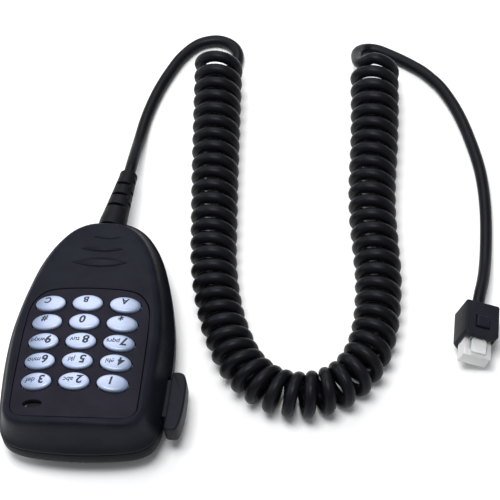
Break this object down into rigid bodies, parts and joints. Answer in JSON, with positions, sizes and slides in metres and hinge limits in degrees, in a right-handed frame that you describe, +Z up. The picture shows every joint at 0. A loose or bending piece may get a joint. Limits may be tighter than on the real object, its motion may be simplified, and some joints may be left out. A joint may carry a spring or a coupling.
{
  "type": "hand microphone",
  "caption": "Palm-sized two-way radio hand microphone with a keypad, a side talk lever, a hang-up stud and a curly cord ending in a booted modular plug.",
  "frame": {"origin": "centre of the hang-up stud's lower flat face, on the surface the handset lies on", "axes": "+Y to the cord end, +Z up out of the keypad side, +X to the talk lever"},
  "size_m": [0.1963, 0.2185, 0.0341],
  "materials": {
    "case_plastic": "fine satin moulded, near-black",
    "panel_plastic": "fine matt moulded, charcoal",
    "key_plastic": "translucent pale blue-white, satin gloss",
    "silicone": "soft matt silicone",
    "board": "green solder mask",
    "chip": "moulded epoxy",
    "steel": "nickel-plated",
    "brass": "gold-flashed",
    "rubber": "soft matt moulded",
    "cord_jacket": "satin extruded",
    "connector_plastic": "natural nylon",
    "clear_plastic": "clear polycarbonate"
  },
  "bodies": {
    "housing": {"front_case": "case_plastic", "rear_case": "case_plastic", "keypad_panel": "panel_plastic", "keypad_mat": "silicone", "circuit_board": "board", "controller_chip": "chip", "tone_encoder_chip": "chip", "crystal": "steel", "backlight_led_1": "connector_plastic", "backlight_led_2": "connector_plastic", "cable_header": "connector_plastic", "cable_connector": "connector_plastic", "core_bundle": "connector_plastic", "board_screw_1": "steel", "board_screw_2": "steel", "case_screw_1": "steel", "case_screw_2": "steel", "case_screw_3": "steel", "case_screw_4": "steel", "hanger_stud": "steel", "stud_screw": "steel", "mic_boot": "rubber", "mic_capsule": "steel", "ptt_pivot_pin": "steel", "ptt_torsion_spring": "steel", "ptt_switch": "chip", "strain_relief": "rubber", "cord_lead_mic": "cord_jacket", "cord_coil": "cord_jacket", "cord_lead_plug": "cord_jacket", "plug_boot": "rubber", "modular_plug": "clear_plastic", "contact_1": "brass", "contact_2": "brass", "contact_3": "brass", "contact_4": "brass", "contact_5": "brass", "contact_6": "brass", "contact_7": "brass", "contact_8": "brass"},
    "key_1": {"key_1": "key_plastic"},
    "key_2": {"key_2": "key_plastic"},
    "key_3": {"key_3": "key_plastic"},
    "key_4": {"key_4": "key_plastic"},
    "key_5": {"key_5": "key_plastic"},
    "key_6": {"key_6": "key_plastic"},
    "key_7": {"key_7": "key_plastic"},
    "key_8": {"key_8": "key_plastic"},
    "key_9": {"key_9": "key_plastic"},
    "key_0": {"key_0": "key_plastic"},
    "key_star": {"key_star": "key_plastic"},
    "key_hash": {"key_hash": "key_plastic"},
    "key_a": {"key_a": "key_plastic"},
    "key_b": {"key_b": "key_plastic"},
    "key_c": {"key_c": "key_plastic"},
    "talk_lever": {"ptt_lever": "case_plastic"},
    "talk_plunger": {"ptt_plunger": "connector_plastic"},
    "release_button": {"boot_button": "rubber"},
    "latch_arm": {"plug_latch": "clear_plastic"}
  },
  "joints": [
    {"name": "key_1_press", "type": "slide", "parent": "housing", "child": "key_1", "axis": [0, -0.0872, -0.9962], "range_m": [0, 0.0012], "stiffness_N_per_m": 800, "springref_m": -0.0003},
    {"name": "key_2_press", "type": "slide", "parent": "housing", "child": "key_2", "axis": [0, -0.0872, -0.9962], "range_m": [0, 0.0012], "stiffness_N_per_m": 800, "springref_m": -0.0003},
    {"name": "key_3_press", "type": "slide", "parent": "housing", "child": "key_3", "axis": [0, -0.0872, -0.9962], "range_m": [0, 0.0012], "stiffness_N_per_m": 800, "springref_m": -0.0003},
    {"name": "key_4_press", "type": "slide", "parent": "housing", "child": "key_4", "axis": [0, -0.0872, -0.9962], "range_m": [0, 0.0012], "stiffness_N_per_m": 800, "springref_m": -0.0003},
    {"name": "key_5_press", "type": "slide", "parent": "housing", "child": "key_5", "axis": [0, -0.0872, -0.9962], "range_m": [0, 0.0012], "stiffness_N_per_m": 800, "springref_m": -0.0003},
    {"name": "key_6_press", "type": "slide", "parent": "housing", "child": "key_6", "axis": [0, -0.0872, -0.9962], "range_m": [0, 0.0012], "stiffness_N_per_m": 800, "springref_m": -0.0003},
    {"name": "key_7_press", "type": "slide", "parent": "housing", "child": "key_7", "axis": [0, -0.0872, -0.9962], "range_m": [0, 0.0012], "stiffness_N_per_m": 800, "springref_m": -0.0003},
    {"name": "key_8_press", "type": "slide", "parent": "housing", "child": "key_8", "axis": [0, -0.0872, -0.9962], "range_m": [0, 0.0012], "stiffness_N_per_m": 800, "springref_m": -0.0003},
    {"name": "key_9_press", "type": "slide", "parent": "housing", "child": "key_9", "axis": [0, -0.0872, -0.9962], "range_m": [0, 0.0012], "stiffness_N_per_m": 800, "springref_m": -0.0003},
    {"name": "key_0_press", "type": "slide", "parent": "housing", "child": "key_0", "axis": [0, -0.0872, -0.9962], "range_m": [0, 0.0012], "stiffness_N_per_m": 800, "springref_m": -0.0003},
    {"name": "key_star_press", "type": "slide", "parent": "housing", "child": "key_star", "axis": [0, -0.0872, -0.9962], "range_m": [0, 0.0012], "stiffness_N_per_m": 800, "springref_m": -0.0003},
    {"name": "key_hash_press", "type": "slide", "parent": "housing", "child": "key_hash", "axis": [0, -0.0872, -0.9962], "range_m": [0, 0.0012], "stiffness_N_per_m": 800, "springref_m": -0.0003},
    {"name": "key_a_press", "type": "slide", "parent": "housing", "child": "key_a", "axis": [0, -0.0872, -0.9962], "range_m": [0, 0.0012], "stiffness_N_per_m": 800, "springref_m": -0.0003},
    {"name": "key_b_press", "type": "slide", "parent": "housing", "child": "key_b", "axis": [0, -0.0872, -0.9962], "range_m": [0, 0.0012], "stiffness_N_per_m": 800, "springref_m": -0.0003},
    {"name": "key_c_press", "type": "slide", "parent": "housing", "child": "key_c", "axis": [0, -0.0872, -0.9962], "range_m": [0, 0.0012], "stiffness_N_per_m": 800, "springref_m": -0.0003},
    {"name": "talk_lever_squeeze", "type": "hinge", "parent": "housing", "child": "talk_lever", "pos_m": [0.027, -0.0185, 0.0137], "axis": [0, 0, -1], "range_deg": [0, 3.2], "stiffness_Nm_per_rad": 0.5, "springref_deg": -1.72},
    {"name": "talk_plunger_push", "type": "slide", "parent": "housing", "child": "talk_plunger", "axis": [-1, 0, 0], "range_m": [0, 0.000531]},
    {"name": "boot_button_press", "type": "slide", "parent": "housing", "child": "release_button", "axis": [-0.4067, 0, -0.9135], "range_m": [0, 0.0014], "stiffness_N_per_m": 500, "springref_m": -0.0004},
    {"name": "plug_latch_flex", "type": "hinge", "parent": "housing", "child": "latch_arm", "pos_m": [0.15464, 0.003, 0.01171], "axis": [-0.9135, 0, 0.4067], "range_deg": [0, 5.9]}
  ],
  "couplings": [
    {"joint": "talk_plunger_push", "follows": "talk_lever_squeeze", "m_per_rad": 0.0095},
    {"joint": "plug_latch_flex", "follows": "boot_button_press", "rad_per_m": 73.5}
  ]
}
